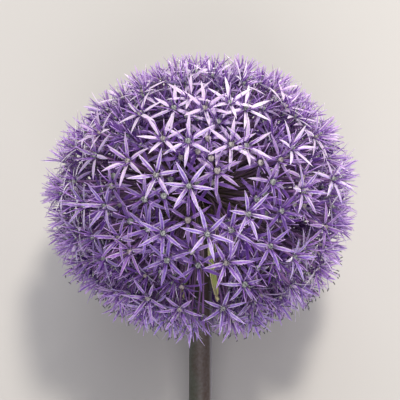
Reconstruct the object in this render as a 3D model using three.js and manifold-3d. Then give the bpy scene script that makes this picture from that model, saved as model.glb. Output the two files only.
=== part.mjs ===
/**
 * The cut flower head of a large ornamental allium, laid on its side.
 *
 * The round umbel is a crowd of six-pointed star florets, each on its own stalk (a pedicel), which
 * all spring from the knob at the top of the stem. Two papery bracts, the halves of the sheath that
 * once wrapped the bud, hang from under the knob along the stem. The flower rests on its lowest
 * florets, which the surface has pushed in a little, and on the lower edge of the stem's cut end.
 *
 * Millimetres, +Z up. The stem points towards -Y, and the top of the head towards +Y.
 */
import * as THREE from "three";
import { mergeVertices } from "three/addons/utils/BufferGeometryUtils.js";
import Module from "manifold-3d";

// The umbel, in the flower's own frame: the knob's centre at the origin, and the stem along -Z.
const HEAD_RADIUS = 86.5; // knob's centre to the outermost florets' throats, across the stem
const HEAD_HALF_HEIGHT = 79.5; // the same, along the stem
const HEAD_CENTRE_HEIGHT = 81.5; // knob's centre above the surface that the flower lies on
const FLORET_COUNT = 246;
const DEEPEST = 13; // how far under the outermost florets the innermost ones open
const BARE_ANGLE = THREE.MathUtils.degToRad(17); // round the stem, where no floret stands
const DIRECTION_JITTER = 0.06; // radians
const LEAN = 0.25; // the most that a floret's face leans, as a slope on each axis

// One floret: six pointed tepals round a low ovary.
const TEPALS = 6;
const TEPAL_LENGTH = 14; // throat's centre to tip
const NOTCH_RADIUS = 4.4; // to the notches between the tepals, so also their width at the root
const OVARY_HEIGHT = 2;
const LOWEST_CUP = -2; // how far the tips stand out past the throat, from reflexed ...
const HIGHEST_CUP = 5; // ... to half open
const TIP_JITTER = 1.2;
const PEDICEL_RADIUS = 0.7; // corner radius of the three-sided stalk
const COLLAR_DEPTH = 1.2; // how far under the throat the stalk widens into the floret

// Tepals keep out of each other's way: each floret is the best of a few draws.
const DRAWS = 24;
const CLEARANCE = 2; // between the centre lines of tepals and stalks

// The knob, or receptacle: a ball cut flat where the stem carries it.
const KNOB_RADIUS = 10;
const KNOB_FLAT = -5.7; // height of the flat
const KNOB_SIDES = 16;
const KNOB_RINGS = 6;
const LOWEST_ROOT = THREE.MathUtils.degToRad(105); // polar angle of the lowest pedicel's root
const ROOT_DEPTH = 1.6; // a pedicel's root under the knob's surface

// The stem.
const STEM_LENGTH = 165; // knob's centre to the cut end
const STEM_TOP_RADIUS = 6.3;
const STEM_CUT_RADIUS = 7;
const STEM_SIDES = 24;
const STEM_RINGS = 6;
const SEAT_GAP = 0.3; // between pieces that bear on each other

// The two bracts.
const BRACT_AZIMUTHS = [-38, 150].map(THREE.MathUtils.degToRad);
const BRACT_LENGTH = 52;
const BRACT_ROOT_WIDTH = 5;
const BRACT_BELLY = 6; // how much wider it would get towards the tip
const BRACT_THICKNESS = 0.7;
const BRACT_FLARE = 3.6; // how far the tip stands off the stem
const BRACT_COLUMNS = 6;
const BRACT_ROWS = 9;

const PAINT = {
  head: { color: "#8a67b8", roughness: 0.6, metalness: 0 },
  stem: { color: "#56523c", roughness: 0.5, metalness: 0 },
  bract: { color: "#b9c46a", roughness: 0.7, metalness: 0 },
};

const GOLDEN_ANGLE = Math.PI * (3 - Math.sqrt(5));
const UP = new THREE.Vector3(0, 0, 1);

// The stem leans down until the lower edge of its cut end is level with the lowest florets.
const cutEdge = STEM_CUT_RADIUS * Math.cos(Math.PI / STEM_SIDES);
const tilt =
  Math.asin(HEAD_CENTRE_HEIGHT / Math.hypot(STEM_LENGTH, cutEdge)) - Math.atan2(cutEdge, STEM_LENGTH);
const skyward = new THREE.Vector3(0, -Math.cos(tilt), Math.sin(tilt)); // in the flower's frame

const wasm = await Module();
wasm.setup();

/** A closed geometry as a manifold-3d solid. */
function solidOf(geometry) {
  const bare = geometry.clone();
  bare.deleteAttribute("normal");
  bare.deleteAttribute("uv");
  const merged = mergeVertices(bare);
  return new wasm.Manifold(
    new wasm.Mesh({
      numProp: 3,
      vertProperties: merged.attributes.position.array,
      triVerts: new Uint32Array(merged.index.array),
    }),
  );
}

/** A manifold-3d solid as a three.js geometry. */
function geometryOf(solid) {
  const mesh = solid.getMesh();
  return new THREE.BufferGeometry()
    .setAttribute("position", new THREE.BufferAttribute(mesh.vertProperties, 3))
    .setIndex(new THREE.BufferAttribute(mesh.triVerts, 1));
}

/** A unit direction from its polar angle off +Z and its azimuth about Z. */
function direction(polar, azimuth) {
  return new THREE.Vector3(
    Math.sin(polar) * Math.cos(azimuth),
    Math.sin(polar) * Math.sin(azimuth),
    Math.cos(polar),
  );
}

/** A profile of [radius, height] pairs turned about Z, with a flat side of its polygon facing -Y. */
function turned(profile, sides) {
  const points = profile.map(([radius, height]) => new THREE.Vector2(radius, height));
  return new THREE.LatheGeometry(points, sides, Math.PI / sides).rotateX(Math.PI / 2);
}

/** A random amount between -most and +most. */
function spread(most) {
  return (2 * THREE.MathUtils.seededRandom() - 1) * most;
}

/** A star's points about its throat: a notch and a tip by turns, anticlockwise, then the ovary's top. */
function starPoints(cup) {
  const points = [];
  for (let k = 0; k < TEPALS; k++) {
    const angle = (k * 2 * Math.PI) / TEPALS;
    const tip = direction(Math.PI / 2, angle).multiplyScalar(TEPAL_LENGTH);
    points.push(
      direction(Math.PI / 2, angle - Math.PI / TEPALS).multiplyScalar(NOTCH_RADIUS),
      tip.addScaledVector(UP, cup + spread(TIP_JITTER)),
    );
  }
  points.push(new THREE.Vector3(0, 0, OVARY_HEIGHT));
  return points;
}

/** The three corners of a stalk about its centre, each under the middle of a third of the star. */
function stalkCorners(centre, turn) {
  return [0, 1, 2].map((third) => {
    const angle = ((2 * third + 0.5) * 2 * Math.PI) / TEPALS;
    const corner = direction(Math.PI / 2, angle).multiplyScalar(PEDICEL_RADIUS);
    return corner.applyQuaternion(turn).add(centre);
  });
}

/** One draw of the floret at a place on the golden-angle spiral, of which the knob has a like one. */
function drawFloret(place) {
  const share = (place + 0.5) / FLORET_COUNT;
  const azimuth = place * GOLDEN_ANGLE;
  const polar = Math.acos(1 - share * (1 + Math.cos(BARE_ANGLE)));
  const outward = direction(
    Math.min(polar + spread(DIRECTION_JITTER), Math.PI - BARE_ANGLE),
    azimuth + spread(DIRECTION_JITTER) / Math.sin(polar),
  );
  const reach = 1 / Math.hypot(Math.sin(polar) / HEAD_RADIUS, Math.cos(polar) / HEAD_HALF_HEIGHT);
  const throat = outward.clone().multiplyScalar(reach - DEEPEST * THREE.MathUtils.seededRandom() ** 1.5);

  const face = outward.clone().add(new THREE.Vector3(spread(LEAN), spread(LEAN), spread(LEAN)));
  const roll = new THREE.Quaternion().setFromAxisAngle(UP, spread(Math.PI / TEPALS));
  const turn = new THREE.Quaternion().setFromUnitVectors(UP, face.normalize()).multiply(roll);
  const cup = THREE.MathUtils.lerp(LOWEST_CUP, HIGHEST_CUP, THREE.MathUtils.seededRandom());
  const star = starPoints(cup).map((point) => point.applyQuaternion(turn).add(throat));

  // Where the surface is in the way, the whole floret is pushed back towards the knob.
  const lowest = HEAD_CENTRE_HEIGHT + Math.min(...star.map((point) => point.dot(skyward)));
  if (lowest < 0) {
    const push = outward.multiplyScalar(-lowest / outward.dot(skyward));
    throat.add(push);
    for (const point of star) point.add(push);
  }

  const rootPolar = Math.acos(1 - share * (1 - Math.cos(LOWEST_ROOT)));
  const root = direction(rootPolar, azimuth).multiplyScalar(KNOB_RADIUS - ROOT_DEPTH);
  const tepals = star.filter((_, i) => i % 2 === 1).map((tip) => new THREE.Line3(throat, tip));
  return { throat, turn, star, root, tepals, stalk: new THREE.Line3(root, throat) };
}

/** How often a floret's tepals and stalk come too close to those of the florets that already stand. */
function crossings(floret, standing) {
  const close = (a, b) => a.distanceSqToLine3(b) < CLEARANCE ** 2;
  let count = 0;
  for (const other of standing) {
    if (floret.throat.distanceTo(other.throat) > 2 * TEPAL_LENGTH + CLEARANCE) continue;
    for (const tepal of floret.tepals)
      count += [...other.tepals, other.stalk].filter((line) => close(tepal, line)).length;
    count += other.tepals.filter((line) => close(floret.stalk, line)).length;
  }
  return count;
}

/** Every floret, each the one of its draws that crosses the fewest others. */
function placeFlorets() {
  const standing = [];
  for (let place = 0; place < FLORET_COUNT; place++) {
    const draws = Array.from({ length: DRAWS }, () => drawFloret(place));
    const counts = draws.map((floret) => crossings(floret, standing));
    standing.push(draws[counts.indexOf(Math.min(...counts))]);
  }
  return standing;
}

/** One floret and its stalk as one closed skin. */
function floretGeometry({ throat, turn, star, root }) {
  const under = new THREE.Vector3(0, 0, -COLLAR_DEPTH).applyQuaternion(turn).add(throat);
  const points = [...star, ...stalkCorners(under, turn), ...stalkCorners(root, turn)];
  const ovary = 2 * TEPALS;
  const collar = ovary + 1;
  const foot = collar + 3;
  const perThird = ovary / 3;
  const corners = [];
  for (let e = 0; e < ovary; e++) {
    const next = (e + 1) % ovary;
    corners.push(ovary, e, next);
    corners.push(next, e, collar + Math.floor(e / perThird));
  }
  for (let third = 0; third < 3; third++) {
    const after = (third + 1) % 3;
    corners.push(after * perThird, collar + third, collar + after);
    corners.push(collar + after, collar + third, foot + third);
    corners.push(collar + after, foot + third, foot + after);
  }
  corners.push(foot + 2, foot + 1, foot);
  return new THREE.BufferGeometry().setFromPoints(points).setIndex(corners);
}

/** The knob: a ball down to the flat that the stem carries. */
function knobGeometry() {
  const flatPolar = Math.acos(KNOB_FLAT / KNOB_RADIUS);
  const profile = [[0, KNOB_FLAT]];
  for (let ring = 0; ring < KNOB_RINGS; ring++) {
    const polar = flatPolar * (1 - ring / KNOB_RINGS);
    profile.push([KNOB_RADIUS * Math.sin(polar), KNOB_RADIUS * Math.cos(polar)]);
  }
  profile.push([0, KNOB_RADIUS]);
  return turned(profile, KNOB_SIDES);
}

/** The whole umbel: every floret and its stalk, joined to the knob. */
function headGeometry() {
  THREE.MathUtils.seededRandom(20417);
  const florets = placeFlorets().map((floret) => solidOf(floretGeometry(floret)));
  return geometryOf(wasm.Manifold.union([solidOf(knobGeometry()), ...florets]));
}

/** The stem, from its flat cut end up to the knob's flat. */
function stemGeometry() {
  const top = KNOB_FLAT - SEAT_GAP;
  const profile = [[0, -STEM_LENGTH]];
  for (let ring = 0; ring <= STEM_RINGS; ring++) {
    const share = ring / STEM_RINGS;
    profile.push([
      THREE.MathUtils.lerp(STEM_CUT_RADIUS, STEM_TOP_RADIUS, share),
      THREE.MathUtils.lerp(-STEM_LENGTH, top, share),
    ]);
  }
  profile.push([0, top]);
  return turned(profile, STEM_SIDES);
}

/** A bract: a thin leaf that wraps part of the stem, broadest past its middle, with its tip standing off. */
function bractGeometry(azimuth) {
  const points = [];
  for (const skin of [0, BRACT_THICKNESS])
    for (let row = 0; row <= BRACT_ROWS; row++)
      for (let column = 0; column <= BRACT_COLUMNS; column++) {
        const share = row / BRACT_ROWS;
        const across = (2 * column) / BRACT_COLUMNS - 1;
        const taper = 1 - share ** 4;
        const width = taper * (BRACT_ROOT_WIDTH + BRACT_BELLY * share ** 1.5) + BRACT_THICKNESS;
        const off = STEM_CUT_RADIUS + SEAT_GAP + BRACT_FLARE * share ** 2 + skin;
        const height = KNOB_FLAT - 2 * SEAT_GAP - BRACT_LENGTH * share;
        const angle = azimuth + (across * width) / 2 / off;
        points.push(new THREE.Vector3(off * Math.cos(angle), off * Math.sin(angle), height));
      }

  const perRow = BRACT_COLUMNS + 1;
  const outer = perRow * (BRACT_ROWS + 1);
  const corners = [];
  const pair = (a, b, c, d) => corners.push(a, b, c, a, c, d);
  for (let row = 0; row < BRACT_ROWS; row++) {
    const left = row * perRow;
    const right = left + BRACT_COLUMNS;
    for (let a = left; a < right; a++) {
      const b = a + perRow;
      pair(outer + a, outer + b, outer + b + 1, outer + a + 1);
      corners.push(a, b + 1, b, a, a + 1, b + 1);
    }
    pair(left, left + perRow, outer + left + perRow, outer + left);
    pair(right + perRow, right, outer + right, outer + right + perRow);
  }
  for (let column = 0; column < BRACT_COLUMNS; column++) {
    const low = BRACT_ROWS * perRow + column;
    pair(column + 1, column, outer + column, outer + column + 1);
    pair(low, low + 1, outer + low + 1, outer + low);
  }
  return new THREE.BufferGeometry().setFromPoints(points).setIndex(corners);
}

/** A named piece with its finish. */
function piece(name, geometry, paint) {
  const faceted = geometry.toNonIndexed();
  faceted.computeVertexNormals();
  const mesh = new THREE.Mesh(faceted, new THREE.MeshStandardMaterial({ ...paint, flatShading: true }));
  mesh.name = name;
  return mesh;
}

const flower = new THREE.Group();
flower.add(
  piece("flower_head", headGeometry(), PAINT.head),
  piece("stem", stemGeometry(), PAINT.stem),
  ...BRACT_AZIMUTHS.map((azimuth, i) => piece(`bract_${i + 1}`, bractGeometry(azimuth), PAINT.bract)),
);
flower.rotation.x = tilt - Math.PI / 2;
flower.position.z = HEAD_CENTRE_HEIGHT;

// The origin is on the surface, under the middle of the part.
const allium = new THREE.Group();
allium.add(flower);
const middle = new THREE.Box3().setFromObject(allium, true).getCenter(new THREE.Vector3());
flower.position.x -= middle.x;
flower.position.y -= middle.y;

export default allium;
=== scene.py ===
"""A cut allium flower head, laid on its side: some nine hundred star florets round the top of a smooth stem.

Sizes are in millimetres in the flower's own frame, which has the knob's centre at its origin and the stem
along -Z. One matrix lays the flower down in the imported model's frame, in metres.
"""
import logging
import math
import random
from dataclasses import dataclass, field
from enum import Enum
from typing import Any, Callable

import bmesh
import bpy
import numpy as np
from mathutils import Matrix, Quaternion, Vector


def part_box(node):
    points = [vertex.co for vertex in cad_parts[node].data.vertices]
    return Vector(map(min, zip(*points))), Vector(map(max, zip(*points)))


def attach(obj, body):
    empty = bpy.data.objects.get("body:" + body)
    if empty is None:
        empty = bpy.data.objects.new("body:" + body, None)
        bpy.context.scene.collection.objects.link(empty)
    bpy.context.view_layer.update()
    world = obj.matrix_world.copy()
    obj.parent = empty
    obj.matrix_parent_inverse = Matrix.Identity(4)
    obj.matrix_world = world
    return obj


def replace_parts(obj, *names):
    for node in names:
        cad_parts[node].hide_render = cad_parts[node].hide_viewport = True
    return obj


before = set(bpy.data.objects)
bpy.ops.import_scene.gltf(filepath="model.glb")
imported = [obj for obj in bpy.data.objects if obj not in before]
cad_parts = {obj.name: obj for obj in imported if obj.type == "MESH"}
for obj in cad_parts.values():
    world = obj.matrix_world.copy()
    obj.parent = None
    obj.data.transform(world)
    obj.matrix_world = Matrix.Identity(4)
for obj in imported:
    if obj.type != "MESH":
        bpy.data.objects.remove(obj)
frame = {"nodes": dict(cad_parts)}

MM = 0.001
GOLDEN_ANGLE = math.pi * (3 - math.sqrt(5))
UP = Vector((0, 0, 1))
ROOT_BODY = "root"
TEPALS = 6
TEPAL_FEELERS = (0.35, 0.6, 0.8, 1.0)  # shares of a tepal's length
STALK_FEELERS = range(2, 21, 3)  # mm under the throat
BRACT_AZIMUTHS = {"bract_1": -38.0, "bract_2": 150.0}  # degrees round the stem, by node

log = logging.getLogger("allium")


def linear(colour: str) -> tuple[float, float, float, float]:
    """Turn an sRGB hex colour to a linear one.

    Args:
        colour: Six hex digits after a #.

    Returns:
        Linear red, green, blue and an alpha of 1.
    """
    shares = [int(colour[i : i + 2], 16) / 255 for i in (1, 3, 5)]
    red, green, blue = (s / 12.92 if s <= 0.04045 else ((s + 0.055) / 1.055) ** 2.4 for s in shares)
    return red, green, blue, 1.0


def blend(low: float, high: float, share: float) -> float:
    """The value a share of the way from low to high."""
    return low + (high - low) * share


def direction(polar: float, azimuth: float) -> Vector:
    """A unit direction from its polar angle off +Z and its azimuth about Z."""
    return Vector((math.sin(polar) * math.cos(azimuth), math.sin(polar) * math.sin(azimuth), math.cos(polar)))


def nearest(place: Vector, others: list[Vector]) -> float:
    """The distance from a place to the nearest of the others."""
    return min((place - other).length for other in others)


# ---------------------------------------------------------------------------------------------------------
# Finishes
# ---------------------------------------------------------------------------------------------------------


def add_node(
    tree: bpy.types.NodeTree, kind: str, settings: dict[str, Any], inputs: dict[Any, Any]
) -> bpy.types.Node:
    """Add one shader node with its settings, and fill or link its inputs.

    Args:
        tree: The tree that gets the node.
        kind: The node's type, without its ShaderNode prefix.
        settings: Attributes of the node. A list of (position, colour) under "stops" fills a colour ramp.
        inputs: Socket name or number to a value, or to an output socket that is linked to it.

    Returns:
        The node.
    """
    node = tree.nodes.new("ShaderNode" + kind)
    for name, value in settings.items():
        if name == "stops":
            for _ in range(len(value) - 2):
                node.color_ramp.elements.new(0.5)
            for element, (position, colour) in zip(node.color_ramp.elements, value):
                element.position = position
                element.color = linear(colour)
        else:
            setattr(node, name, value)
    for name, value in inputs.items():
        if isinstance(value, bpy.types.NodeSocket):
            tree.links.new(value, node.inputs[name])
        else:
            node.inputs[name].default_value = value
    return node


def new_material(name: str) -> tuple[bpy.types.Material, bpy.types.NodeTree]:
    """Make an empty node material.

    Args:
        name: The real material's name.

    Returns:
        The material and its node tree.
    """
    material = bpy.data.materials.new(name)
    material.use_nodes = True
    material.node_tree.nodes.clear()
    return material, material.node_tree


@dataclass(frozen=True)
class Wash:
    """A colour laid over others: its share runs from least to most as a value runs from start to end."""

    value: bpy.types.NodeSocket
    start: float
    end: float
    least: float
    most: float
    colour: str
    easing: str = "LINEAR"


def washed(tree: bpy.types.NodeTree, below: Any, washes: list[Wash]) -> bpy.types.NodeSocket:
    """Lay washes over a colour, one after the other.

    Args:
        tree: The tree that gets the nodes.
        below: The colour below them all, as an output socket or as linear values.
        washes: The washes, lowest first.

    Returns:
        The socket of the finished colour.
    """
    for wash in washes:
        share = add_node(
            tree, "MapRange", {"interpolation_type": wash.easing},
            {
                "Value": wash.value, "From Min": wash.start, "From Max": wash.end,
                "To Min": wash.least, "To Max": wash.most,
            },
        )
        mix = add_node(
            tree, "Mix", {"data_type": "RGBA"},
            {"Factor": share.outputs["Result"], 6: below, 7: linear(wash.colour)},
        )
        below = mix.outputs[2]
    return below


def mottled(
    tree: bpy.types.NodeTree, size_mm: float, reach: float, detail: float = 2.0, distortion: float = 0.0
) -> bpy.types.NodeSocket:
    """Make an uneven pattern that runs either way about 0, to shift where a colour falls.

    Args:
        tree: The tree that gets the nodes.
        size_mm: Size of its patches.
        reach: The most that it shifts either way.
        detail: How many finer layers it has.
        distortion: How much its patches are stirred.

    Returns:
        The socket of the pattern.
    """
    where = add_node(tree, "TexCoord", {}, {})
    noise = add_node(
        tree, "TexNoise", {},
        {
            "Vector": where.outputs["Object"], "Scale": 1 / (size_mm * MM), "Detail": detail,
            "Distortion": distortion,
        },
    )
    either_way = add_node(
        tree, "MapRange", {},
        {"Value": noise.outputs["Fac"], "From Min": 0.3, "From Max": 0.7, "To Min": -reach, "To Max": reach},
    )
    return either_way.outputs["Result"]


@dataclass(frozen=True)
class PetalSkin:
    """Living petal tissue, with painted light that pales the petals on the crown and on faces turned to the
    sky, and painted shade that turns florets deep within the head violet.
    """

    midrib: str = "#7648aa"
    flank: str = "#9575ca"
    margin: str = "#e6d8f0"
    # painted highlight: the near-white laid on petals on the crown and on faces turned to the sky
    painted_highlight: str = "#e9d4ee"
    throat: str = "#7f5ab0"
    underside: str = "#a384c8"
    # painted shade: the deep violet laid on petals deep within the head
    within: str = "#542084"
    blush: str = "#a95cb2"
    cool: str = "#8676d0"
    faded: str = "#8f7c98"
    mottle_mm: float = 1.7
    mottle_reach: float = 0.26  # how far the mottle shifts the margin, as a share of the half width

    def material(self) -> bpy.types.Material:
        """Build the material from the blade and mood attributes, and from the attribute of painted light.

        Returns:
            The material.
        """
        material, tree = new_material("allium_petal")
        blade = add_node(tree, "Attribute", {"attribute_name": "blade"}, {})
        place = add_node(tree, "SeparateXYZ", {}, {0: blade.outputs["Vector"]})
        mood = add_node(tree, "Attribute", {"attribute_name": "mood"}, {})
        moods = add_node(tree, "SeparateXYZ", {}, {0: mood.outputs["Vector"]})
        sunned = add_node(tree, "Attribute", {"attribute_name": "sunned"}, {})
        uneven = mottled(tree, self.mottle_mm, self.mottle_reach)
        rim = add_node(tree, "Math", {"operation": "ADD"}, {0: place.outputs["Y"], 1: uneven})
        across = add_node(
            tree, "ValToRGB",
            {"stops": [(0.0, self.midrib), (0.2, self.flank), (0.45, self.flank), (0.95, self.margin)]},
            {"Fac": rim.outputs["Value"]},
        )
        colour = washed(tree, across.outputs["Color"], [
            Wash(place.outputs["Z"], 0.0, 1.0, 0.0, 0.6, self.underside),
            Wash(moods.outputs["X"], 0.6, 1.0, 0.0, 0.4, self.blush),
            Wash(moods.outputs["X"], 0.0, 0.5, 0.4, 0.0, self.cool),
            # Painted light: petals high on the crown and facing the sky are paled, as the top lamps would
            # light them.
            Wash(sunned.outputs["Fac"], -0.08, 0.3, 0.0, 0.78, self.painted_highlight),
            Wash(place.outputs["X"], 0.0, 0.2, 0.7, 0.0, self.throat),
            # Painted shade: petals deeper in the head are darkened towards violet by their depth share.
            Wash(moods.outputs["Z"], 0.0, 0.36, 0.0, 0.94, self.within),
            Wash(moods.outputs["Y"], 0.0, 1.0, 0.0, 1.0, self.faded),
        ])
        # Petal tissue: light sinks into the thin blade and comes back soft, and a sheen at grazing angles
        # gives it the satin look of fresh petals.
        shader = add_node(
            tree, "BsdfPrincipled", {},
            {
                "Base Color": colour, "Roughness": 0.45, "IOR": 1.5, "Subsurface Weight": 0.3,
                "Subsurface Radius": (0.6, 0.3, 0.9), "Subsurface Scale": MM, "Sheen Weight": 0.9,
                "Sheen Roughness": 0.35,
            },
        )
        add_node(tree, "OutputMaterial", {}, {"Surface": shader.outputs[0]})
        return material


@dataclass(frozen=True)
class OvarySkin:
    """Young seed pod: waxy grey-green, rough with small warts, and flushed where it ripens, with a painted
    highlight on the wart tops and painted shade in the crevices.
    """

    crevice_shade: str = "#696f6c"
    light: str = "#b6b6b6"
    ripe: str = "#b09c9c"
    wart_mm: float = 0.8
    wart_height_mm: float = 0.25

    def material(self) -> bpy.types.Material:
        """Build the material from the mood attribute.

        Returns:
            The material.
        """
        material, tree = new_material("allium_ovary")
        where = add_node(tree, "TexCoord", {}, {})
        warts = add_node(
            tree, "TexVoronoi", {"feature": "SMOOTH_F1"},
            {"Vector": where.outputs["Object"], "Scale": 1 / (self.wart_mm * MM)},
        )
        # Painted highlight and shade: pale at the wart tops, dark in the crevices, on the same pattern as the
        # bump.
        skin = add_node(
            tree, "ValToRGB", {"stops": [(0.1, self.light), (0.6, self.crevice_shade)]},
            {"Fac": warts.outputs["Distance"]},
        )
        mood = add_node(tree, "Attribute", {"attribute_name": "mood"}, {})
        moods = add_node(tree, "SeparateXYZ", {}, {0: mood.outputs["Vector"]})
        colour = washed(tree, skin.outputs["Color"], [
            Wash(moods.outputs["X"], 0.4, 1.0, 0.0, 0.65, self.ripe),
        ])
        bump = add_node(
            tree, "Bump", {"invert": True},
            {"Strength": 0.7, "Distance": self.wart_height_mm * MM, "Height": warts.outputs["Distance"]},
        )
        # Waxy pod skin: matt, so it reads as a rough little bead. Its pale wart tops are a painted highlight
        # and its dark crevices painted shade, following the bump.
        shader = add_node(
            tree, "BsdfPrincipled", {},
            {"Base Color": colour, "Roughness": 0.68, "IOR": 1.4, "Normal": bump.outputs["Normal"]},
        )
        add_node(tree, "OutputMaterial", {}, {"Surface": shader.outputs[0]})
        return material


@dataclass(frozen=True)
class ThreadSkin:
    """A thin living stalk or thread, whose colour runs from its root to its tip."""

    name: str
    root: str
    middle: str
    tip: str
    speckle_mm: float = 1.5
    speckle_reach: float = 0.15  # how far the speckle shifts the colours, as a share of the length

    def material(self) -> bpy.types.Material:
        """Build the material from the blade attribute.

        Returns:
            The material.
        """
        material, tree = new_material(self.name)
        blade = add_node(tree, "Attribute", {"attribute_name": "blade"}, {})
        place = add_node(tree, "SeparateXYZ", {}, {0: blade.outputs["Vector"]})
        uneven = mottled(tree, self.speckle_mm, self.speckle_reach)
        along = add_node(tree, "Math", {"operation": "ADD"}, {0: place.outputs["X"], 1: uneven})
        colour = add_node(
            tree, "ValToRGB",
            {"stops": [(0.05, self.root), (0.5, self.middle), (0.95, self.tip)]},
            {"Fac": along.outputs["Value"]},
        )
        # Smooth plant skin drawn out thin: a soft highlight down its length, in a colour that drifts along.
        shader = add_node(
            tree, "BsdfPrincipled", {}, {"Base Color": colour.outputs["Color"], "Roughness": 0.45, "IOR": 1.4}
        )
        add_node(tree, "OutputMaterial", {}, {"Surface": shader.outputs[0]})
        return material


@dataclass(frozen=True)
class StemSkin:
    """Waxy scape: dark olive on one side, flushed brown by the sun on the other, with faint grey flecks of
    bloom all over and a painted reflection of the sky, pale grey, down one flank.
    """

    green: str = "#3b3e30"
    brown: str = "#3f322b"
    bloom_and_reflection: str = "#8d8c92"
    pith: str = "#b9c08a"
    rind: str = "#7b8a4c"
    patch_mm: float = 30.0
    patch_reach: float = 0.7  # how far the patches shift the brown, as a share of the radius
    fleck_mm: float = 1.6
    fleck_height_mm: float = 0.1
    pith_edge: float = 0.955  # where the cut end's colours give way to the skin's, as a share of the radius

    def material(self) -> bpy.types.Material:
        """Build the material from the blade attribute: the share across the stem, and nearness to the skin.

        Returns:
            The material.
        """
        material, tree = new_material("allium_stem")
        blade = add_node(tree, "Attribute", {"attribute_name": "blade"}, {})
        place = add_node(tree, "SeparateXYZ", {}, {0: blade.outputs["Vector"]})
        where = add_node(tree, "TexCoord", {}, {})
        flecks = add_node(
            tree, "TexNoise", {},
            {"Vector": where.outputs["Object"], "Scale": 1 / (self.fleck_mm * MM), "Detail": 2.0},
        )
        patches = mottled(tree, self.patch_mm, self.patch_reach, detail=3.0, distortion=0.4)
        sunward = add_node(tree, "Math", {"operation": "ADD"}, {0: place.outputs["X"], 1: patches})
        # Painted reflection of the sky: pale grey down the flank where the share across the stem is highest.
        painted_reflection_flank = add_node(
            tree, "MapRange", {"interpolation_type": "SMOOTHSTEP"},
            {"Value": place.outputs["X"], "From Min": 0.7, "From Max": 1.0, "To Min": 0.0, "To Max": 0.85},
        )
        rubbed = add_node(
            tree, "MapRange", {},
            {
                "Value": flecks.outputs["Fac"], "From Min": 0.35, "From Max": 0.75,
                "To Min": 0.02, "To Max": 0.14,
            },
        )
        bloom_and_reflection_share = add_node(
            tree, "Math", {"operation": "ADD"}, {0: painted_reflection_flank.outputs["Result"], 1: rubbed.outputs["Result"]}
        )
        skin = washed(tree, linear(self.green), [
            Wash(sunward.outputs["Value"], -0.7, 0.5, 0.0, 1.0, self.brown, "SMOOTHSTEP"),
            Wash(bloom_and_reflection_share.outputs["Value"], 0.0, 1.0, 0.0, 1.0, self.bloom_and_reflection),
        ])
        cut = add_node(
            tree, "ValToRGB",
            {"stops": [(0.0, self.pith), (0.8, self.pith), (0.9, self.rind), (0.97, self.green)]},
            {"Fac": place.outputs["Z"]},
        )
        inside = add_node(
            tree, "Math", {"operation": "LESS_THAN"}, {0: place.outputs["Z"], 1: self.pith_edge}
        )
        colour = add_node(
            tree, "Mix", {"data_type": "RGBA"},
            {"Factor": inside.outputs["Value"], 6: skin, 7: cut.outputs["Color"]},
        )
        bump = add_node(
            tree, "Bump", {},
            {"Strength": 0.2, "Distance": self.fleck_height_mm * MM, "Height": flecks.outputs["Fac"]},
        )
        # Waxy stem skin: dull, with a thin coat that gives one soft streak of light. The pale grey down one
        # flank is a painted reflection of the sky, and faint grey flecks of bloom lie all over.
        shader = add_node(
            tree, "BsdfPrincipled", {},
            {
                "Base Color": colour.outputs[2], "Roughness": 0.52, "IOR": 1.4,
                "Coat Weight": 0.05, "Coat Roughness": 0.4, "Normal": bump.outputs["Normal"],
            },
        )
        add_node(tree, "OutputMaterial", {}, {"Surface": shader.outputs[0]})
        return material


@dataclass(frozen=True)
class BractSkin:
    """Papery sheath: pale yellow-green between darker ribs, dried to straw at its tip and margins."""

    leaf: str = "#dbe692"
    rib: str = "#8ba648"
    straw: str = "#eadfae"

    def material(self) -> bpy.types.Material:
        """Build the material from the blade attribute: along, rib and rim.

        Returns:
            The material.
        """
        material, tree = new_material("allium_bract")
        blade = add_node(tree, "Attribute", {"attribute_name": "blade"}, {})
        place = add_node(tree, "SeparateXYZ", {}, {0: blade.outputs["Vector"]})
        ribs = add_node(
            tree, "ValToRGB", {"stops": [(0.1, self.rib), (0.7, self.leaf)]}, {"Fac": place.outputs["Y"]}
        )
        colour = washed(tree, ribs.outputs["Color"], [
            Wash(place.outputs["X"], 0.8, 0.98, 0.0, 1.0, self.straw, "SMOOTHSTEP"),
            Wash(place.outputs["Z"], 0.0, 1.0, 0.0, 1.0, self.straw),
        ])
        # Papery leaf: light passes into it, so it glows yellow-green against the dark stalks.
        shader = add_node(
            tree, "BsdfPrincipled", {},
            {
                "Base Color": colour, "Roughness": 0.55, "IOR": 1.4, "Sheen Weight": 0.2,
                "Subsurface Weight": 0.3, "Subsurface Radius": (0.8, 1.0, 0.3), "Subsurface Scale": MM,
            },
        )
        add_node(tree, "OutputMaterial", {}, {"Surface": shader.outputs[0]})
        return material


@dataclass(frozen=True)
class FloorPaint:
    """Matt painted board, pale and plain."""

    colour: str = "#b4b2ae"

    def material(self) -> bpy.types.Material:
        """Build the floor's material.

        Returns:
            The material.
        """
        material, tree = new_material("pale_floor")
        # Matt paint: it takes the soft shadow and has no pattern that would draw the eye.
        shader = add_node(tree, "BsdfPrincipled", {}, {"Base Color": linear(self.colour), "Roughness": 0.8})
        add_node(tree, "OutputMaterial", {}, {"Surface": shader.outputs[0]})
        return material


# ---------------------------------------------------------------------------------------------------------
# Shaping
# ---------------------------------------------------------------------------------------------------------


def ringed_tube(sides: int, cuts: int) -> bmesh.types.BMesh:
    """A closed tube of radius 1 round +Z, from 0 to 1 high, with a ring of edges at each cut.

    Args:
        sides: Corners of a ring. With 4, they lie on the X and Y axes.
        cuts: Rings between the two ends.

    Returns:
        The tube.
    """
    bm = bmesh.new()
    bmesh.ops.create_cone(
        bm, cap_ends=True, cap_tris=False, segments=sides, radius1=1, radius2=1, depth=1,
        matrix=Matrix.Translation((0, 0, 0.5)),
    )
    upright = [edge for edge in bm.edges if abs(edge.verts[0].co.z - edge.verts[1].co.z) > 0.5]
    bmesh.ops.subdivide_edges(bm, edges=upright, cuts=cuts)
    return bm


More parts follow.
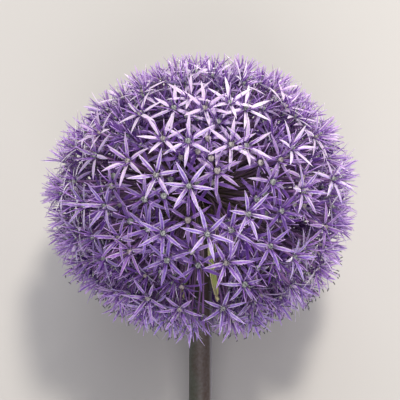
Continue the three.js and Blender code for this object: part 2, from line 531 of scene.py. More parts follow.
@dataclass(frozen=True)
class Bend:
    """How a petal or thread leaves the floret's axis: on an arc, with a twist and a sideways drift."""

    rise: float  # degrees above the floret's face, at the root
    turn: float  # degrees that the rise changes by the tip
    twist: float = 0.0  # degrees at the tip
    drift: float = 0.0  # sideways at the tip, as a share of the length

    def at(self, share: float, length: float) -> tuple[Vector, Vector, Vector]:
        """Follow the bend.

        Args:
            share: Share of the length, from 0 at the root to 1 at the tip.
            length: Arc length.

        Returns:
            The spine's point, and the unit directions across the blade and out of its upper face.
        """
        start = math.radians(self.rise)
        bend = math.radians(self.turn) or 1e-4
        here = start + bend * share
        point = Vector((
            length * (math.sin(here) - math.sin(start)) / bend,
            length * self.drift * share**2,
            length * (math.cos(start) - math.cos(here)) / bend,
        ))
        forward = Vector((math.cos(here), 0, math.sin(here)))
        spin = Quaternion(forward, math.radians(self.twist) * share**1.5)
        return point, spin @ Vector((0, 1, 0)), spin @ Vector((-math.sin(here), 0, math.cos(here)))


@dataclass(frozen=True)
class Habit:
    """The sizes and bends of a floret of one form."""

    length: float  # of a tepal
    width: float
    tepal: Bend
    stamen: Bend
    stamen_length: float
    untidy: float  # how much the tepals differ from each other
    fade: float
    ovary_radius: float


class Form(Enum):
    """The forms of floret that stand in one head at a time, from cupped to spent."""

    CUPPED = Habit(13.2, 1.8, Bend(58, -12), Bend(80, -8), 9.8, 0.8, 0.0, 1.3)
    OPEN = Habit(13.8, 2.3, Bend(29, -16), Bend(72, -12), 10.4, 0.8, 0.0, 1.45)
    WIDE = Habit(13.9, 2.3, Bend(10, -14), Bend(66, -16), 10.6, 0.9, 0.02, 1.55)
    REFLEXED = Habit(13.3, 2.2, Bend(-4, -30), Bend(60, -20), 10.2, 1.2, 0.1, 1.7)
    SPENT = Habit(11.5, 1.8, Bend(10, -40), Bend(54, -50), 8.0, 3.0, 0.35, 1.8)


@dataclass(frozen=True)
class Warp:
    """One vertex's new place, with what its blade attribute says."""

    place: Vector
    blade: tuple[float, float, float]


def warped(bm: bmesh.types.BMesh, rule: Callable[[Vector], Warp]) -> None:
    """Move every vertex by a rule, and note its place along and across in the blade attribute.

    Args:
        bm: The mesh, changed in place.
        rule: Gives a vertex's new place and blade values from its old place.
    """
    layer = bm.verts.layers.float_vector.get("blade") or bm.verts.layers.float_vector.new("blade")
    for vertex in bm.verts:
        warp = rule(vertex.co.copy())
        vertex.co = warp.place
        vertex[layer] = warp.blade


def as_mesh(bm: bmesh.types.BMesh, name: str) -> bpy.types.Mesh:
    """Free a bmesh into a smooth-shaded mesh.

    Args:
        bm: The bmesh, which is freed.
        name: The mesh's name.

    Returns:
        The mesh.
    """
    for face in bm.faces:
        face.smooth = True
    mesh = bpy.data.meshes.new(name)
    bm.to_mesh(mesh)
    bm.free()
    return mesh


def joined(parts: list[bmesh.types.BMesh]) -> bmesh.types.BMesh:
    """Gather several bmeshes into the first of them, and free the others.

    Args:
        parts: The bmeshes, one or more.

    Returns:
        The first of them, which now holds them all.
    """
    whole = parts[0]
    for part in parts[1:]:
        scrap = bpy.data.meshes.new("scrap")
        part.to_mesh(scrap)
        part.free()
        whole.from_mesh(scrap)
        bpy.data.meshes.remove(scrap)
    return whole


@dataclass(frozen=True)
class Lie:
    """How the flower lies on the surface: on its lowest florets and the lower edge of its stem's cut end."""

    knob_height: float = 81.5
    stem_length: float = 165.0
    cut_radius: float = 7.0
    cut_sides: int = 24
    give: float = 2.5  # height over the surface under which petals and threads bend flat

    @property
    def cut_edge(self) -> float:
        """From the stem's axis to a flat side of its cut end."""
        return self.cut_radius * math.cos(math.pi / self.cut_sides)

    @property
    def slope(self) -> float:
        """The stem's angle to the surface, in radians."""
        reach = math.hypot(self.stem_length, self.cut_edge)
        return math.asin(self.knob_height / reach) - math.atan2(self.cut_edge, self.stem_length)

    @property
    def skyward(self) -> Vector:
        """Straight up, in the flower's own frame."""
        return Vector((0, -math.cos(self.slope), math.sin(self.slope)))

    def matrix(self) -> Matrix:
        """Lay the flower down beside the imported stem.

        Returns:
            The matrix from the flower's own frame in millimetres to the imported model's in metres.
        """
        low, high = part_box("stem")
        run = self.cut_edge * math.sin(self.slope) + self.stem_length * math.cos(self.slope)
        knob = Vector(((low.x + high.x) / 2, low.y + run * MM, self.knob_height * MM))
        tilt = Matrix.Rotation(self.slope - math.pi / 2, 4, "X")
        return Matrix.Translation(knob) @ tilt @ Matrix.Scale(MM, 4)

    def settle(self, mesh: bpy.types.Mesh) -> None:
        """Lay a mesh down in the model's frame, and bend flat whatever would reach the surface.

        Args:
            mesh: The mesh in the flower's own frame, changed in place.
        """
        mesh.transform(self.matrix())
        places = np.empty(len(mesh.vertices) * 3)
        mesh.vertices.foreach_get("co", places)
        heights = places[2::3]
        give = self.give * MM
        low = heights < give
        heights[low] = give * np.exp((heights[low] - give) / give)
        mesh.vertices.foreach_set("co", places)
        mesh.update()


def put(name: str, mesh: bpy.types.Mesh, material: bpy.types.Material) -> bpy.types.Object:
    """Link a finished mesh as a piece that rides on the root body.

    Args:
        name: The piece's name.
        mesh: Its mesh, already in the model's frame.
        material: Its finish.

    Returns:
        The object.
    """
    mesh.name = name
    mesh.materials.clear()
    mesh.materials.append(material)
    piece = bpy.data.objects.new(name, mesh)
    bpy.context.scene.collection.objects.link(piece)
    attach(piece, ROOT_BODY)
    mesh.calc_loop_triangles()
    log.info("%s: %d triangles", name, len(mesh.loop_triangles))
    return piece


# ---------------------------------------------------------------------------------------------------------
# The umbel
# ---------------------------------------------------------------------------------------------------------


class Organ(Enum):
    """The parts of a floret that are pieces of their own."""

    OUTER_TEPALS = "outer_tepals"
    INNER_TEPALS = "inner_tepals"
    OVARY = "ovaries"
    FILAMENTS = "filaments"
    ANTHERS = "anthers"


@dataclass
class Floret:
    """One model floret: three outer and three inner tepals, six stamens and the ovary."""

    habit: Habit
    draw: random.Random
    channel: float = 0.22  # how far the margins stand up, as a share of the half width
    thickness: float = 0.4
    tip_thickness: float = 0.35  # as a share of the root's
    outer_drop: float = 0.25  # how far the outer tepals spring below the inner ones
    tip_crowding: float = 1.3  # over 1 sets a tepal's cuts closer together towards its tip
    root_radius: float = 1.0
    stamen_ring: float = 0.75  # how far outside the tepals' roots the stamens spring
    ovary_tall: float = 1.45  # height for its radius
    ovary_seat: float = 0.55  # its middle over the throat, as a share of its half height
    lobe_depth: float = 0.09
    crown_dent: float = 0.3
    style_length: float = 6.0
    style_seat: float = 0.6  # the style's root over the throat, as a share of the ovary's height
    style_root: float = 0.22
    style_tip: float = 0.12
    style_lean: float = 0.5
    filament_root: float = 0.45
    filament_tip: float = 0.2
    filament_breadth: float = 1.3  # width for its thickness
    anther_length: float = 2.7
    anther_radius: float = 0.36
    tepal_cuts: int = 5
    filament_cuts: int = 2
    rise_spread: float = 7.0  # degrees either way, for an untidiness of 1
    turn_spread: float = 10.0
    twist_spread: float = 28.0
    drift_spread: float = 0.09  # either way, as a share of the length
    bends: list[Bend] = field(default_factory=list)
    lengths: list[float] = field(default_factory=list)

    def __post_init__(self) -> None:
        """Draw how each tepal lies."""
        for _ in range(TEPALS):
            self.bends.append(self.loosened(self.habit.tepal))
            self.lengths.append(self.habit.length * self.draw.uniform(0.93, 1.05))

    def loosened(self, bend: Bend) -> Bend:
        """Draw a bend that differs a little from the habit's.

        Args:
            bend: The habit's bend.

        Returns:
            The drawn one.
        """
        spreads = (self.rise_spread, self.turn_spread, self.twist_spread, self.drift_spread)
        rise, turn, twist, drift = (
            self.draw.uniform(-spread, spread) * self.habit.untidy for spread in spreads
        )
        return Bend(bend.rise + rise, bend.turn + turn, twist, drift)

    @staticmethod
    def taper(share: float) -> float:
        """A tepal's width along it, as a share of its greatest: lance-shaped, with a narrow root."""
        return (0.42 + 2.6 * share) * (1 - share) ** 1.05 + 0.03

    def around(self, number: int, place: Vector) -> Vector:
        """Turn a place from the first tepal's direction to another's."""
        turn = Matrix.Rotation(number * 2 * math.pi / TEPALS, 3, "Z")
        return turn @ (Vector((self.root_radius, 0, 0)) + place)

    def tepal(self, number: int) -> bmesh.types.BMesh:
        """Model one tepal, a thin blade with a sunk middle line and a sharp rim.

        Args:
            number: Its number round the floret. Even ones are outer tepals.

        Returns:
            The tepal.
        """
        bend, length = self.bends[number], self.lengths[number]
        lift = 0.0 if number % 2 else -self.outer_drop

        def rule(old: Vector) -> Warp:
            """Lay a point of the tube on the blade.

            Args:
                old: Its place on the tube.

            Returns:
                Its place on the blade, and how far along it is, how near the rim, and whether underneath.
            """
            share = 1 - (1 - old.z) ** self.tip_crowding
            point, side, up = bend.at(share, length)
            half = self.habit.width * self.taper(share) / 2
            thick = self.thickness * blend(1.0, self.tip_thickness, share) / 2
            rim = abs(old.x)
            place = point + side * (old.x * half) + up * (old.y * thick + rim * half * self.channel + lift)
            return Warp(self.around(number, place), (share, rim, 1.0 if old.y < -0.5 else 0.0))

        bm = ringed_tube(4, self.tepal_cuts)
        rims = [edge for edge in bm.edges if all(abs(v.co.x) > 0.5 for v in edge.verts)]
        for edge in rims:
            edge.smooth = edge.verts[0].co.x * edge.verts[1].co.x < 0
        warped(bm, rule)
        return bm

    def filament(self, number: int, bend: Bend) -> bmesh.types.BMesh:
        """Model one filament, broad at its root and drawn out to a thread.

        Args:
            number: Its number round the floret.
            bend: How it leaves the floret.

        Returns:
            The filament.
        """

        def rule(old: Vector) -> Warp:
            """Lay a point of the tube on the filament.

            Args:
                old: Its place on the tube.

            Returns:
                Its place on the filament, and how far along it is.
            """
            point, side, up = bend.at(old.z, self.habit.stamen_length)
            girth = blend(self.filament_root, self.filament_tip, math.sqrt(old.z))
            place = point + (side * old.x * self.filament_breadth + up * old.y) * girth
            place.x += self.stamen_ring
            return Warp(self.around(number, place), (old.z, 0.0, 0.0))

        bm = ringed_tube(3, self.filament_cuts)
        warped(bm, rule)
        return bm

    def anther(self, number: int, bend: Bend) -> bmesh.types.BMesh:
        """Model one anther, a small bean that lies across the end of its filament.

        Args:
            number: Its number round the floret.
            bend: How its filament leaves the floret.

        Returns:
            The anther.
        """
        tip, side, up = bend.at(1.0, self.habit.stamen_length)
        lying = (side * self.draw.uniform(-1, 1) + up.cross(side) * self.draw.uniform(-1, 1)).normalized()
        turn = UP.rotation_difference(lying).to_matrix()
        sizes = Vector((self.anther_radius, self.anther_radius, self.anther_length / 2))

        def rule(old: Vector) -> Warp:
            """Lay a point of the ball on the anther.

            Args:
                old: Its place on the ball.

            Returns:
                Its place on the anther, and how far along it is.
            """
            bean = old * sizes
            bean.rotate(turn)
            bean += tip
            bean.x += self.stamen_ring
            return Warp(self.around(number, bean), ((old.z + 1) / 2, 0.0, 0.0))

        bm = bmesh.new()
        bmesh.ops.create_icosphere(bm, subdivisions=1, radius=1.0)
        warped(bm, rule)
        return bm

    def ovary(self) -> bmesh.types.BMesh:
        """Model the three-lobed ovary with its style.

        Returns:
            Both.
        """
        tall = self.habit.ovary_radius * self.ovary_tall

        def pod_rule(old: Vector) -> Warp:
            """Lay a point of the ball on the ovary: three lobes, and a dent where the style stands.

            Args:
                old: Its place on the ball.

            Returns:
                Its place on the ovary, and how high it is.
            """
            lobe = 1 + self.lobe_depth * math.cos(3 * math.atan2(old.y, old.x))
            dent = 1 - self.crown_dent * max(0.0, old.z) ** 6
            height = (old.z * dent + self.ovary_seat) * tall / 2
            wide = self.habit.ovary_radius * lobe
            return Warp(Vector((old.x * wide, old.y * wide, height)), ((old.z + 1) / 2, 0.0, 0.0))

        def style_rule(old: Vector) -> Warp:
            """Lay a point of the tube on the style.

            Args:
                old: Its place on the tube.

            Returns:
                Its place on the style.
            """
            girth = blend(self.style_root, self.style_tip, old.z)
            lean = self.style_lean * old.z**2
            height = tall * self.style_seat + old.z * self.style_length
            return Warp(Vector((old.x * girth + lean, old.y * girth, height)), (1.0, 0.0, 0.0))

        pod = bmesh.new()
        bmesh.ops.create_icosphere(pod, subdivisions=2, radius=1.0)
        warped(pod, pod_rule)
        style = ringed_tube(3, 1)
        warped(style, style_rule)
        return joined([pod, style])

    def meshes(self) -> dict[Organ, bpy.types.Mesh]:
        """Model every part of the floret.

        Returns:
            Each part's mesh, in millimetres about the throat.
        """
        stamens = [self.loosened(self.habit.stamen) for _ in range(TEPALS)]
        made = {
            Organ.OUTER_TEPALS: joined([self.tepal(n) for n in range(0, TEPALS, 2)]),
            Organ.INNER_TEPALS: joined([self.tepal(n) for n in range(1, TEPALS, 2)]),
            Organ.OVARY: self.ovary(),
            Organ.FILAMENTS: joined([self.filament(n, bend) for n, bend in enumerate(stamens)]),
            Organ.ANTHERS: joined([self.anther(n, bend) for n, bend in enumerate(stamens)]),
        }
        return {organ: as_mesh(bm, organ.value) for organ, bm in made.items()}

    def feelers(self) -> np.ndarray:
        """Find the points along the tepals, and down the stalk, by which crowding is felt.

        Returns:
            The points, one in a row, about the throat.
        """
        points = [
            self.around(n, bend.at(share, length)[0])
            for n, (bend, length) in enumerate(zip(self.bends, self.lengths))
            for share in TEPAL_FEELERS
        ]
        points += [Vector((0, 0, -depth)) for depth in STALK_FEELERS]
        return np.array(points)


@dataclass
class Spot:
    """Where one floret stands, in the flower's own frame, and how it looks."""

    throat: Vector
    turn: Quaternion
    root: Vector
    kind: int
    mood: tuple[float, float, float]
    shed: bool  # its anthers have fallen
    feelers: np.ndarray


@dataclass(frozen=True)
class Placed:
    """A floret on the camera's side whose place is given, in pixels of the 400 pixel frame."""

    across: float
    down: float
    roll: float  # degrees from the frame's right to one of its tepals
    depth: float  # mm under the outermost throats
    form: Form


FRONT_FLORETS: tuple[Placed, ...] = (
    Placed(195, 70, 40, 0, Form.WIDE),
    Placed(245, 71, 15, 0, Form.WIDE),
    Placed(141, 89, 10, 0, Form.WIDE),
    Placed(190, 98, 32, 1, Form.OPEN),
    Placed(230, 103, 45, 0, Form.OPEN),
    Placed(285, 106, 43, 1, Form.OPEN),
    Placed(205, 108, 40, 1, Form.OPEN),
    Placed(174, 108, 28, 1, Form.WIDE),
    Placed(246, 109, 30, 0, Form.WIDE),
    Placed(262, 109, 20, 5, Form.REFLEXED),
    Placed(140, 113, 10, 0, Form.WIDE),
    Placed(187, 117, 40, 7, Form.REFLEXED),
    Placed(197, 119, 10, 7, Form.REFLEXED),
    Placed(218, 122, 55, 5, Form.WIDE),
    Placed(84, 131, 45, 0, Form.WIDE),
    Placed(99, 132, 30, 1, Form.OPEN),
    Placed(163, 139, 5, 1, Form.OPEN),
    Placed(208, 139, 20, 5, Form.REFLEXED),
    Placed(188, 141, 28, 0, Form.WIDE),
    Placed(231, 145, 27, 1, Form.WIDE),
    Placed(246, 146, 27, 2, Form.OPEN),
    Placed(75, 147, 50, 0, Form.OPEN),
    Placed(292, 148, 10, 0, Form.OPEN),
    Placed(198, 152, 0, 9, Form.REFLEXED),
    Placed(95, 155, 30, 2, Form.WIDE),
    Placed(211, 159, 30, 8, Form.REFLEXED),
    Placed(280, 160, 50, 5, Form.WIDE),
    Placed(128, 161, 18, 0, Form.OPEN),
    Placed(260, 163, 20, 7, Form.REFLEXED),
    Placed(217, 171, 26, 4, Form.REFLEXED),
    Placed(156, 175, 9, 0, Form.OPEN),
    Placed(302, 177, 35, 4, Form.WIDE),
    Placed(272, 182, 43, 5, Form.REFLEXED),
    Placed(112, 186, 50, 7, Form.REFLEXED),
    Placed(189, 186, 53, 0, Form.OPEN),
    Placed(303, 191, 50, 1, Form.OPEN),
    Placed(264, 194, 30, 9, Form.REFLEXED),
    Placed(164, 196, 40, 7, Form.REFLEXED),
    Placed(145, 199, 30, 5, Form.REFLEXED),
    Placed(256, 199, 0, 9, Form.REFLEXED),
    Placed(293, 204, 10, 9, Form.REFLEXED),
    Placed(84, 205, 45, 1, Form.OPEN),
    Placed(105, 206, 50, 1, Form.OPEN),
    Placed(281, 211, 40, 8, Form.WIDE),
    Placed(248, 214, 46, 0, Form.OPEN),
    Placed(188, 220, 28, 6, Form.REFLEXED),
    Placed(131, 221, 10, 8, Form.REFLEXED),
    Placed(148, 229, 20, 4, Form.WIDE),
    Placed(231, 230, 27, 3, Form.OPEN),
    Placed(163, 233, 30, 2, Form.OPEN),
    Placed(207, 234, 45, 0, Form.OPEN),
    Placed(93, 237, 20, 5, Form.WIDE),
    Placed(119, 238, 50, 3, Form.OPEN),
    Placed(270, 246, 47, 3, Form.OPEN),
    Placed(303, 249, 40, 5, Form.WIDE),
    Placed(130, 251, 17, 2, Form.OPEN),
    Placed(192, 251, 20, 8, Form.REFLEXED),
    Placed(294, 257, 50, 1, Form.OPEN),
    Placed(104, 258, 0, 6, Form.WIDE),
    Placed(167, 260, 20, 5, Form.WIDE),
    Placed(226, 263, 4, 1, Form.OPEN),
    Placed(198, 265, 35, 6, Form.WIDE),
    Placed(257, 267, 30, 8, Form.REFLEXED),
    Placed(328, 268, 30, 0, Form.OPEN),
    Placed(315, 275, 20, 3, Form.WIDE),
    Placed(244, 284, 0, 2, Form.REFLEXED),
    Placed(148, 298, 50, 1, Form.OPEN),
    Placed(298, 299, 20, 0, Form.OPEN),
    Placed(223, 308, 25, 1, Form.OPEN),
    Placed(180, 309, 0, 1, Form.OPEN),
    Placed(257, 323, 20, 1, Form.OPEN),
)


@dataclass(frozen=True)
class Gap:
    """A place on the camera's side where florets stand apart and the stalks behind them show, in pixels."""

    across: float
    down: float
    radius: float


GAPS: tuple[Gap, ...] = (
    Gap(232, 186, 12),
    Gap(250, 189, 12),
    Gap(228, 199, 10),
    Gap(206, 206, 9),
    Gap(219, 211, 9),
    Gap(197, 161, 8),
    Gap(176, 208, 9),
    Gap(290, 191, 11),
    Gap(298, 226, 14),
    Gap(286, 236, 10),
    Gap(250, 251, 10),
    Gap(275, 287, 10),
    Gap(92, 169, 11),
    Gap(125, 192, 9),
    Gap(88, 226, 8),
    Gap(139, 255, 11),
    Gap(185, 272, 12),
    Gap(205, 284, 19),
    Gap(223, 291, 9),
)
BRACT_WINDOW = Gap(212, 284, 10)  # before the bract, where no drawn floret's stalk crosses
OUTER_STALK = (0.5, 0.6, 0.7, 0.8, 0.9)  # shares of a pedicel's length that are kept out of the window
NEAR_MARGIN = 4.0  # mm added to the reach of two tepals, so that no near floret is missed


@dataclass(frozen=True)
class View:
    """The camera's place before the head, in the flower's own frame: it looks along +Y with +Z up."""

    distance: float = 600.0
    lens: float = 94.8
    film: float = 36.0
    frame: float = 400.0
    aim: Vector = Vector((-0.3, 0.0, -1.7))  # what the frame's middle shows

    @property
    def eye(self) -> Vector:
        """The camera's place."""
        return self.aim - Vector((0, self.distance, 0))

    def ray(self, across: float, down: float) -> Vector:
        """Find the direction in which the camera sees a pixel of the frame.

        Args:
            across: Pixels from the frame's left.
            down: Pixels from its top.

        Returns:
            The unit direction.
        """
        pitch = self.film / self.frame / self.lens
        middle = self.frame / 2
        return Vector(((across - middle) * pitch, 1, (middle - down) * pitch)).normalized()

    def shows_in(self, place: Vector, gaps: tuple[Gap, ...]) -> bool:
        """Tell whether the camera sees a place inside one of the gaps.

        Args:
            place: The place, in the flower's own frame.
            gaps: The gaps.

        Returns:
            Whether it does.
        """
        ray = place - self.eye
        scale = self.frame * self.lens / self.film / ray.y
        across, down = self.frame / 2 + ray.x * scale, self.frame / 2 - ray.z * scale
        return any(math.hypot(across - gap.across, down - gap.down) < gap.radius for gap in gaps)


@dataclass
class Umbel:
    """The round head: knob, pedicels and florets."""

    lie: Lie
    view: View
    count: int = 1036  # places on the spiral, some of which stay empty
    radius: float = 81.0  # knob's centre to the outermost throats, across the stem
    half_height: float = 73.5
    deepest: float = 20.0  # how far under the outermost throats the innermost ones open
    shoulder: Vector = direction(math.radians(33), math.pi)  # the way to the slow-grown shoulder
    shoulder_dent: float = 5.0
    shoulder_focus: int = 6  # a higher power makes the dent narrower
    outer_bias: float = 1.5  # over 1 puts more florets near the outside
    placed_reach: float = 23.0  # how far round a placed floret the others stay deep
    placed_clear: float = 9.0  # nearer than this to a placed throat, no other stands
    placed_deep: float = 10.0  # least depth of the others there
    placed_facing: float = 0.55  # least share of its face that a placed floret turns to the camera
    kept_share: float = 0.4  # of the others there
    bare_angle: float = math.radians(14)  # round the stem, where no floret stands
    jitter: float = 0.055  # radians
    lean: float = 0.4  # the most that a floret's face leans, as a slope on each axis
    placed_lean: float = 0.12
    placed_lift: float = 0.6  # how much the placed florets under the middle turn up to the light
    facing_share: float = 0.62  # of the painted light on a petal, the share that comes from its facing and not from its height in the head
    shed_crown: float = 2.2  # how surely anthers have fallen at the crown, which opened first
    shed_foot: float = 0.3
    kinds_per_form: int = 4
    draws: int = 8  # each floret is the least crowded of a few draws
    clearance: float = 1.7  # feelers of two florets nearer than this count as crowded
    knob_radius: float = 9.0
    knob_flat: float = -5.7  # height of the flat where the stem carries the knob
    lowest_root: float = math.radians(105)  # polar angle of the lowest pedicel's root
    root_depth: float = 1.0
    pedicel_radius: float = 0.52
    pedicel_head: float = 0.5  # how much wider a pedicel is right under its floret, as a share
    pedicel_foot: float = 0.25  # the same at its root
    pedicel_sides: int = 5
    pedicel_cuts: int = 5
    sag: float = 3.0
    seed: int = 20417
    draw: random.Random = field(init=False)
    florets: list[Floret] = field(default_factory=list)
    forms: list[Form] = field(default_factory=list)
    shapes: list[np.ndarray] = field(default_factory=list)
    spots: list[Spot] = field(default_factory=list)

    def __post_init__(self) -> None:
        """Start the one source of random draws."""
        self.draw = random.Random(self.seed)

    def grow(self) -> None:
        """Model the florets and find every floret's place."""
        for form in Form:
            for _ in range(self.kinds_per_form):
                self.forms.append(form)
                self.florets.append(Floret(form.value, self.draw))
        self.shapes = [floret.feelers() for floret in self.florets]
        self.spots = [self.placed_spot(placed) for placed in FRONT_FLORETS]
        front = [spot.throat for spot in self.spots if self.faces_camera(spot.throat)]
        for place in range(self.count):
            drawn = [self.draw_spot(place, front) for _ in range(self.draws)]
            near = self.neighbours(drawn[0])
            counts = [self.crowding(spot, near) for spot in drawn]
            best = drawn[counts.index(min(counts))]
            apart = nearest(best.throat, front)
            spared = apart < self.placed_reach and self.faces_camera(best.throat)
            if best.throat.y < 0 and self.blocks_view(best):
                continue
            if apart > self.placed_clear and not (spared and self.draw.random() > self.kept_share):
                self.spots.append(best)

    def pick_form(self, within: float) -> Form:
        """Choose a floret's form: stars and cups, with more reflexed and spent ones within.

        Args:
            within: How deep it stands, from 0 to 1.

        Returns:
            The form.
        """
        weights = {
            Form.CUPPED: 0.24,
            Form.OPEN: 0.36,
            Form.WIDE: 0.26,
            Form.REFLEXED: 0.08 + 0.20 * within,
            Form.SPENT: 0.02 + 0.10 * within,
        }
        return self.draw.choices(list(weights), list(weights.values()))[0]

    def faces_camera(self, place: Vector) -> bool:
        """Whether a place in the head is on the side that is plainly turned to the camera."""
        return -place.normalized().y > self.placed_facing

    def blocks_view(self, spot: Spot) -> bool:
        """Tell whether a floret would stand in a gap, or its stalk would cross the window before the bract.

        Args:
            spot: Where the floret would stand.

        Returns:
            Whether it would.
        """
        stalk = [spot.root.lerp(spot.throat, share) for share in OUTER_STALK]
        window = any(self.view.shows_in(place, (BRACT_WINDOW,)) for place in stalk)
        return window or self.view.shows_in(spot.throat, GAPS)

    def reach(self, outward: Vector) -> float:
        """Find how far from the knob the outermost throats lie: less at the shoulder that grew slower.

        Args:
            outward: Unit direction from the knob.

        Returns:
            The distance.
        """
        polar = math.acos(outward.z)
        even = 1 / math.hypot(math.sin(polar) / self.radius, math.cos(polar) / self.half_height)
        return even - self.shoulder_dent * max(0.0, outward.dot(self.shoulder)) ** self.shoulder_focus

    def spot(self, outward: Vector, depth: float, face: Vector, tepal: Vector, form: Form) -> Spot:
        """Stand a floret in the head.

        Args:
            outward: Unit direction from the knob to its throat.
            depth: How far it stands under the outermost throats.
            face: The direction in which it faces.
            tepal: The direction of one of its tepals, made square to its face.
            form: Its form.

        Returns:
            The spot, pushed back where it would have reached through the surface.
        """
        polar = math.acos(outward.z)
        throat = outward * (self.reach(outward) - depth)
        upward = face.normalized()
        forward = (tepal - tepal.project(upward)).normalized()
        turn = Matrix((forward, upward.cross(forward), upward)).transposed().to_quaternion()
        kind = self.forms.index(form) + self.draw.randrange(self.kinds_per_form)
        feelers = self.shapes[kind] @ np.array(turn.to_matrix()).T + np.array(throat)

        below = self.lie.knob_height + (feelers @ np.array(self.lie.skyward)).min()
        if below < 0:
            push = outward * (-below / outward.dot(self.lie.skyward))
            throat = throat + push
            feelers = feelers + np.array(push)

        share = (1 - math.cos(polar)) / (1 + math.cos(self.bare_angle))
        root_polar = math.acos(1 - share * (1 - math.cos(self.lowest_root)))
        root = direction(root_polar, math.atan2(outward.y, outward.x)) * (self.knob_radius - self.root_depth)
        within = depth / self.deepest * self.draw.uniform(0.7, 1.3)
        # The depth share in the mood darkens the petals as painted shade.
        mood = (self.draw.random(), form.value.fade * self.draw.uniform(0.6, 1.4), within)
        shed = self.draw.random() < blend(self.shed_foot, self.shed_crown, (outward.z + 1) / 2)
        return Spot(throat, turn, root, kind, mood, shed, feelers)

    def scatter(self, size: float) -> Vector:
        """A random vector, each way up to a size."""
        return Vector([self.draw.uniform(-size, size) for _ in range(3)])

    def placed_spot(self, placed: Placed) -> Spot:
        """Find where the camera's ray through a listed floret meets its layer of the head.

        Args:
            placed: The floret.

        Returns:
            Its spot.
        """
        wide, tall = self.radius - placed.depth, self.half_height - placed.depth
        squash = Matrix.Diagonal((1 / wide, 1 / wide, 1 / tall))
        eye = squash @ self.view.eye
        ray = squash @ self.view.ray(placed.across, placed.down)
        middle = -ray.dot(eye) / ray.length_squared
        inside = middle**2 - (eye.length_squared - 1) / ray.length_squared
        outward = (squash.inverted() @ (eye + ray * (middle - math.sqrt(max(0.0, inside))))).normalized()
        roll = math.radians(placed.roll)
        tepal = Vector((math.cos(roll), 0, math.sin(roll)))
        face = outward + self.scatter(self.placed_lean) + UP * self.placed_lift * max(0.0, -outward.z)
        return self.spot(outward, placed.depth, face, tepal, placed.form)

    def draw_spot(self, place: int, front: list[Vector]) -> Spot:
        """Draw one way in which a floret could stand at its place on the golden-angle spiral.

        Args:
            place: Number of the place, from the crown down.
            front: The throats of the listed florets, which the others leave in sight.

        Returns:
            The spot.
        """
        uniform = self.draw.uniform
        share = (place + 0.5) / self.count
        azimuth = place * GOLDEN_ANGLE
        polar = math.acos(1 - share * (1 + math.cos(self.bare_angle)))
        outward = direction(
            min(polar + uniform(-self.jitter, self.jitter), math.pi - self.bare_angle),
            azimuth + uniform(-self.jitter, self.jitter) / math.sin(polar),
        )
        outermost = outward * self.reach(outward)
        shown = self.faces_camera(outward) and nearest(outermost, front) < self.placed_reach
        least = self.placed_deep if shown else 0.0
        depth = blend(least, self.deepest, self.draw.random() ** self.outer_bias)
        form = self.pick_form(depth / self.deepest)
        return self.spot(outward, depth, outward + self.scatter(self.lean), self.scatter(1.0), form)

    def neighbours(self, spot: Spot) -> np.ndarray:
        """Gather the feelers of the florets that already stand near a spot.

        Args:
            spot: The spot.

        Returns:
            The feelers, one in a row.
        """
        reach = 2 * Form.OPEN.value.length + self.clearance + NEAR_MARGIN
        near = [other.feelers for other in self.spots if (other.throat - spot.throat).length < reach]
        return np.concatenate(near) if near else np.empty((0, 3))

    def crowding(self, spot: Spot, near: np.ndarray) -> int:
        """Count the pairs of feelers that come too close.

        Args:
            spot: A floret's spot.
            near: The feelers of its neighbours.

        Returns:
            The count.
        """
        gaps = spot.feelers[:, None, :] - near[None, :, :]
        return int((np.einsum("ijk,ijk->ij", gaps, gaps) < self.clearance**2).sum())

    def gather(self, organ: Organ, shapes: list[dict[Organ, bpy.types.Mesh]]) -> bpy.types.Mesh:
        """Set one part of every floret in its place, as one mesh.

        Args:
            organ: The part.
            shapes: The model florets' meshes.

        Returns:
            The mesh, laid down in the model's frame. Its vertices hold their floret's mood and, on petals,
            how much painted light they get: more on the crown and on faces turned to the sky.
        """
        bm = bmesh.new()
        moods: list[np.ndarray] = []
        for spot in self.spots:
            if spot.shed and organ is Organ.ANTHERS:
                continue
            shape = shapes[spot.kind][organ].copy()
            shape.transform(Matrix.Translation(spot.throat) @ spot.turn.to_matrix().to_4x4())
            bm.from_mesh(shape)
            moods.append(np.tile(spot.mood, (len(shape.vertices), 1)))
            bpy.data.meshes.remove(shape)
        mesh = as_mesh(bm, organ.value)
        mood = mesh.attributes.new("mood", "FLOAT_VECTOR", "POINT")
        mood.data.foreach_set("vector", np.concatenate(moods).ravel())
        if organ in (Organ.OUTER_TEPALS, Organ.INNER_TEPALS):
            normals = np.empty(len(mesh.vertices) * 3)
            places = np.empty(len(mesh.vertices) * 3)
            mesh.vertices.foreach_get("normal", normals)
            mesh.vertices.foreach_get("co", places)
            # Painted light: higher on the crown and on faces turned up towards the top lamps, it pales the
            # petals there.
            sunned = blend(places[2::3] / self.half_height, normals[2::3], self.facing_share)
            mesh.attributes.new("sunned", "FLOAT", "POINT").data.foreach_set("value", sunned)
        self.lie.settle(mesh)
        return mesh

    def pedicel(self, spot: Spot) -> bmesh.types.BMesh:
        """Model one pedicel: a thin stalk, a little bowed, that widens into its floret.

        Args:
            spot: Where its floret stands.

        Returns:
            The pedicel.
        """
        line = spot.throat - spot.root
        bow = self.scatter(1.0) * self.sag
        bow -= bow.project(line)
        turn = UP.rotation_difference(line.normalized()).to_matrix()

        def rule(old: Vector) -> Warp:
            """Lay a point of the tube on the pedicel.

            Args:
                old: Its place on the tube.

            Returns:
                Its place on the pedicel, and how far along it is.
            """
            widening = self.pedicel_head * old.z**12 + self.pedicel_foot * (1 - old.z) ** 8
            girth = self.pedicel_radius * (1 + widening)
            arch = bow * math.sin(math.pi * old.z)
            ring = turn @ Vector((old.x * girth, old.y * girth, 0))
            return Warp(spot.root + line * old.z + arch + ring, (old.z, 0.0, 0.0))

        stalk = ringed_tube(self.pedicel_sides, self.pedicel_cuts)
        warped(stalk, rule)
        return stalk

